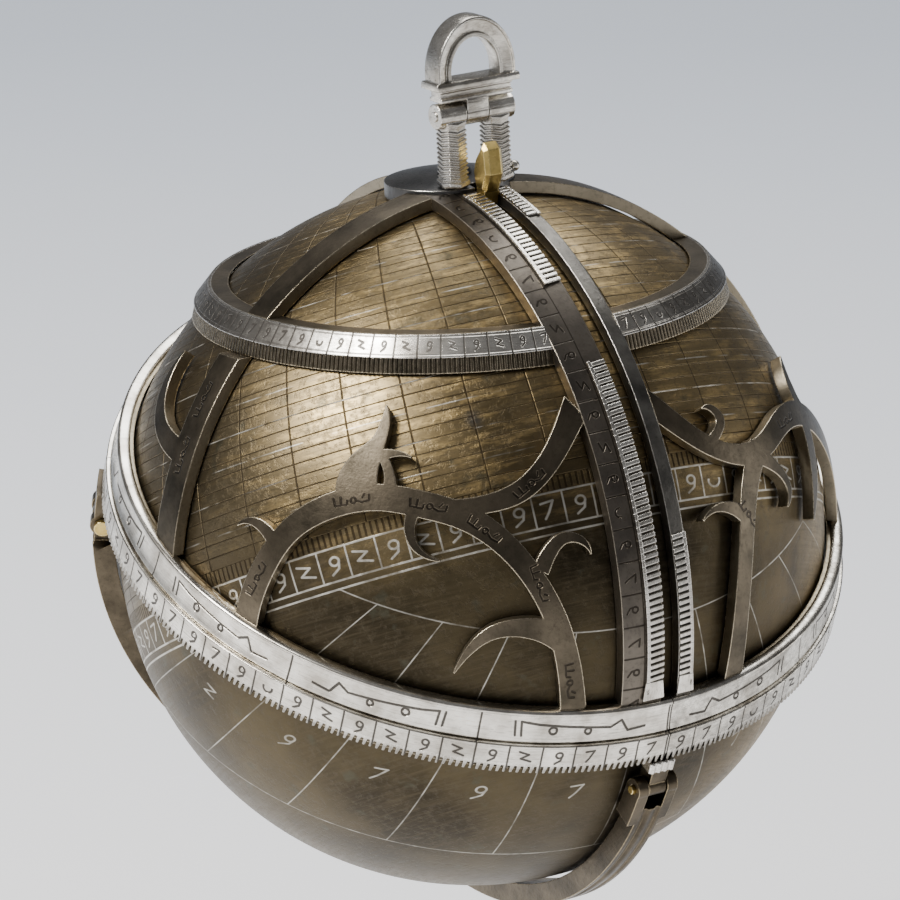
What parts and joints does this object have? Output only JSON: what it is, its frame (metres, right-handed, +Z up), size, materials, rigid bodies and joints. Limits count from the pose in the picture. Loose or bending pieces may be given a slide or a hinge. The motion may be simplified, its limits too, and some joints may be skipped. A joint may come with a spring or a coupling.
{
  "type": "spherical astrolabe",
  "caption": "Spherical astrolabe: engraved hollow brass globe turning under a pierced silver-laminated rete, held by a hinged cage and hung from a shackle.",
  "frame": {"origin": "bearing point of the shackle, the middle of the inside top of its D-shaped opening", "axes": "+Z up as the instrument hangs, with the globe centre straight below the shackle hinge; -Y towards the slotted colure; +X to the right of the slot, along the shackle hinge"},
  "size_m": [0.0878, 0.085, 0.1079],
  "materials": {
    "silver": "worn engraved silver",
    "tarnished_silver": "tarnished silver",
    "rete_brass": "dark patinated brass",
    "globe_brass": "engraved brass, silver inlay",
    "cage_bronze": "dark patinated brass",
    "bright_brass": "polished brass"
  },
  "bodies": {
    "shackle": {"shackle_loop": "silver", "shackle_neck": "silver"},
    "globe": {"globe_upper_half": "globe_brass", "globe_lower_half": "globe_brass", "globe_joining_sleeve": "globe_brass", "globe_pole_bush": "globe_brass"},
    "cage": {"cage_front_arm": "cage_bronze", "cage_left_arm": "cage_bronze", "cage_right_arm": "cage_bronze", "cage_boss": "cage_bronze"},
    "cursor": {"slot_cursor": "bright_brass"},
    "left_pin": {"left_latch_pin": "bright_brass"},
    "right_pin": {"right_latch_pin": "bright_brass"},
    "rete": {"back_lower_rib": "rete_brass", "back_upper_rib": "rete_brass", "bracket_ball_rivet": "silver", "bracket_left_leg": "silver", "bracket_right_leg": "silver", "cage_hinge_pin": "bright_brass", "declination_ring": "rete_brass", "declination_scale": "silver", "declination_tooth_band": "rete_brass", "ecliptic_name_band": "silver", "ecliptic_number_band": "silver", "ecliptic_rim": "silver", "ecliptic_ring": "rete_brass", "front_hinge_block": "silver", "front_hinge_tongue": "cage_bronze", "left_latch_lug": "cage_bronze", "left_lower_rib": "rete_brass", "left_star_tracery": "rete_brass", "left_upper_rib": "rete_brass", "number_rail": "rete_brass", "number_rail_lower_scale": "silver", "number_rail_upper_scale": "silver", "plain_rail": "tarnished_silver", "plain_rail_lower_scale": "silver", "plain_rail_upper_scale": "silver", "polar_plate": "tarnished_silver", "pole_pivot_pin": "tarnished_silver", "right_latch_lug": "cage_bronze", "right_lower_rib": "rete_brass", "right_star_tracery": "rete_brass", "right_upper_rib": "rete_brass", "shackle_hinge_pin": "silver"}
  },
  "joints": [
    {"name": "shackle_hinge", "type": "hinge", "parent": "shackle", "child": "rete", "pos_m": [0, -0.0008, -0.00876], "axis": [1, 0, 0], "range_deg": [-70, 70]},
    {"name": "globe_turn", "type": "hinge", "parent": "rete", "child": "globe", "pos_m": [0, -0.0008, -0.06068], "axis": [0, 0.0905, 0.9959], "continuous": true},
    {"name": "cursor_slide", "type": "hinge", "parent": "rete", "child": "cursor", "pos_m": [0, -0.0008, -0.06068], "axis": [1, 0, 0], "range_deg": [0, 86]},
    {"name": "cage_swing", "type": "hinge", "parent": "rete", "child": "cage", "pos_m": [0, -0.04039, -0.0782], "axis": [-1, 0, 0], "range_deg": [0, 100]},
    {"name": "left_latch_draw", "type": "slide", "parent": "rete", "child": "left_pin", "axis": [-0.5, -0.8222, -0.272], "range_m": [0, 0.007]},
    {"name": "right_latch_draw", "type": "slide", "parent": "rete", "child": "right_pin", "axis": [0.5, -0.8222, -0.272], "range_m": [0, 0.007]}
  ]
}
